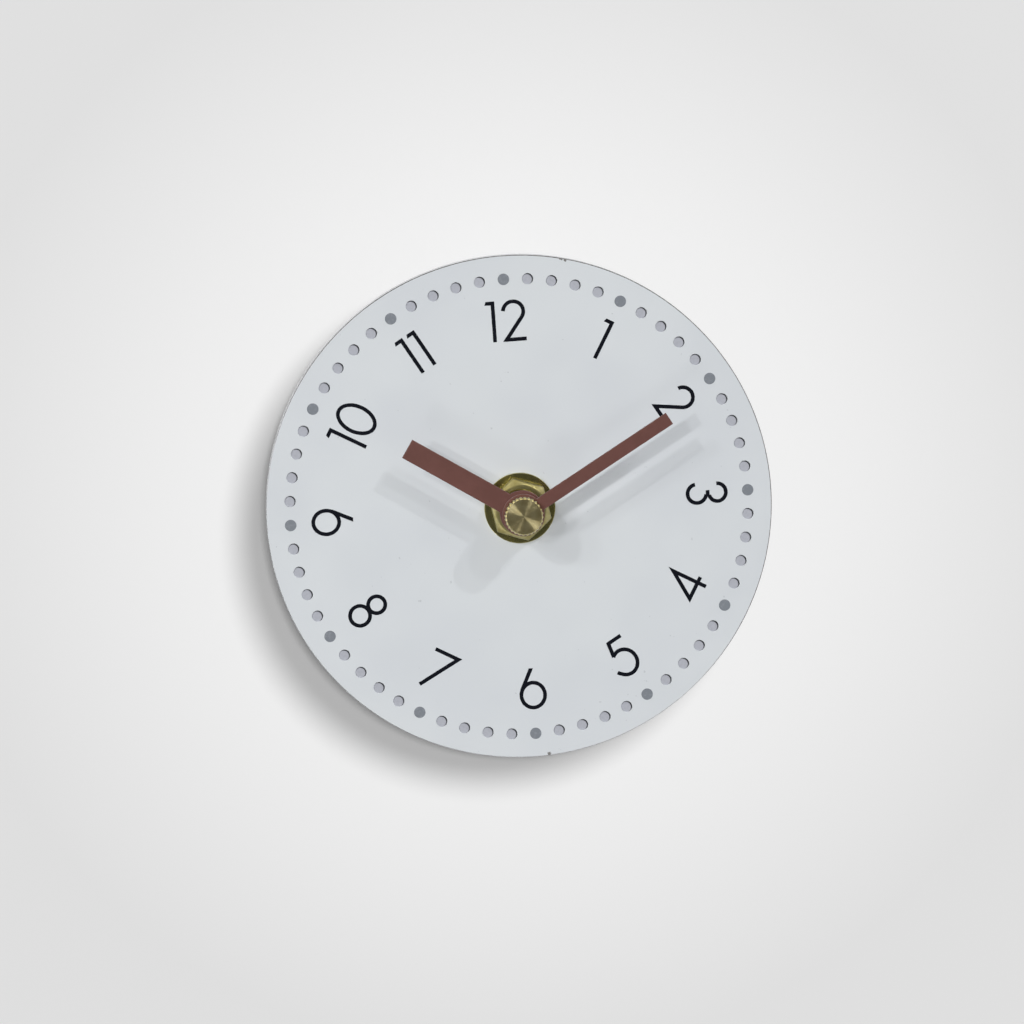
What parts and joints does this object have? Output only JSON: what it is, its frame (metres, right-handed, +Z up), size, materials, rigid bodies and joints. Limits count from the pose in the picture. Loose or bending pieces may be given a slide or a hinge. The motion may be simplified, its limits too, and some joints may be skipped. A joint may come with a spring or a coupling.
{
  "type": "round quartz wall clock",
  "caption": "Small frameless round wall clock: white disc dial with minute dots, baton hands, brass nut and cap nut, and a square quartz movement with a hanger plate behind.",
  "frame": {"origin": "on the hand shaft's axis, on the movement's flat back, which lies against the wall", "axes": "+Z up towards 12, -Y out of the dial towards the viewer, +X to the viewer's right"},
  "size_m": [0.1, 0.0358, 0.1],
  "materials": {
    "dial_white": "satin white painted sheet",
    "brass": "polished and turned brass",
    "hand_brown": "satin dark red-brown paint on thin sheet",
    "case_black": "moulded, fine spark-eroded texture",
    "bobbin_black": "moulded",
    "gear_plastic": "natural white moulded",
    "steel": "zinc plated",
    "rubber": "matte",
    "magnet": "sintered",
    "copper": "enamelled copper wire",
    "board_green": "green solder resist",
    "cell_jacket": "plain coloured film on the can"
  },
  "bodies": {
    "frame": {"front_case": "case_black", "rear_cover": "case_black", "middle_plate": "gear_plastic", "threaded_bushing": "brass", "hanger_plate": "steel", "cushion_washer": "rubber", "dial_plate": "dial_white", "brass_washer": "brass", "hex_nut": "brass", "stator": "steel", "coil_core": "steel", "coil_bobbin": "bobbin_black", "coil_winding": "copper", "circuit_board": "board_green", "board_screw": "steel", "quartz_crystal": "steel", "clock_chip": "bobbin_black", "positive_contact": "steel", "negative_contact": "steel"},
    "minute": {"minute_shaft": "steel", "minute_hand": "hand_brown", "cap_nut": "brass", "friction_washer": "brass"},
    "hour": {"hour_wheel": "gear_plastic", "hour_hand": "hand_brown", "hour_hand_bush": "brass"},
    "motion": {"motion_wheel": "gear_plastic"},
    "setting": {"setting_knob": "gear_plastic", "setting_pinion": "gear_plastic"},
    "second": {"second_wheel": "gear_plastic"},
    "centre": {"centre_wheel": "gear_plastic"},
    "third": {"third_wheel": "gear_plastic"},
    "intermediate": {"intermediate_wheel": "gear_plastic"},
    "rotor": {"rotor_pinion": "gear_plastic", "rotor_magnet": "magnet"},
    "battery": {"battery_can": "cell_jacket", "battery_positive_cap": "steel", "battery_negative_cap": "steel"}
  },
  "joints": [
    {"name": "minute_hand_turn", "type": "hinge", "parent": "frame", "child": "minute", "pos_m": [0, 0, 0], "axis": [0, 1, 0], "continuous": true},
    {"name": "hour_hand_turn", "type": "hinge", "parent": "frame", "child": "hour", "pos_m": [0, 0, 0], "axis": [0, 1, 0], "continuous": true},
    {"name": "motion_wheel_turn", "type": "hinge", "parent": "frame", "child": "motion", "pos_m": [0.00857, 0, 0.00312], "axis": [0, 1, 0], "continuous": true},
    {"name": "setting_knob_turn", "type": "hinge", "parent": "frame", "child": "setting", "pos_m": [0.01752, 0, -0.00106], "axis": [0, 1, 0], "continuous": true},
    {"name": "second_wheel_turn", "type": "hinge", "parent": "frame", "child": "second", "pos_m": [0, 0, 0], "axis": [0, 1, 0], "continuous": true},
    {"name": "centre_wheel_turn", "type": "hinge", "parent": "frame", "child": "centre", "pos_m": [0, 0, 0], "axis": [0, 1, 0], "continuous": true},
    {"name": "third_wheel_turn", "type": "hinge", "parent": "frame", "child": "third", "pos_m": [-0.00751, 0, 0.00434], "axis": [0, 1, 0], "continuous": true},
    {"name": "intermediate_wheel_turn", "type": "hinge", "parent": "frame", "child": "intermediate", "pos_m": [0.00372, 0, 0.00644], "axis": [0, 1, 0], "continuous": true},
    {"name": "rotor_turn", "type": "hinge", "parent": "frame", "child": "rotor", "pos_m": [0.00372, 0, 0.01295], "axis": [0, 1, 0], "continuous": true},
    {"name": "battery_pull", "type": "slide", "parent": "frame", "child": "battery", "axis": [0, 1, 0], "range_m": [0, 0.02]}
  ],
  "couplings": [
    {"joint": "hour_hand_turn", "follows": "minute_hand_turn", "ratio": 0.083333},
    {"joint": "motion_wheel_turn", "follows": "minute_hand_turn", "ratio": -0.33333},
    {"joint": "setting_knob_turn", "follows": "minute_hand_turn", "ratio": 0.75},
    {"joint": "centre_wheel_turn", "follows": "second_wheel_turn", "ratio": 0.016667},
    {"joint": "third_wheel_turn", "follows": "second_wheel_turn", "ratio": -0.13333},
    {"joint": "intermediate_wheel_turn", "follows": "second_wheel_turn", "ratio": -5},
    {"joint": "rotor_turn", "follows": "second_wheel_turn", "ratio": 30}
  ]
}
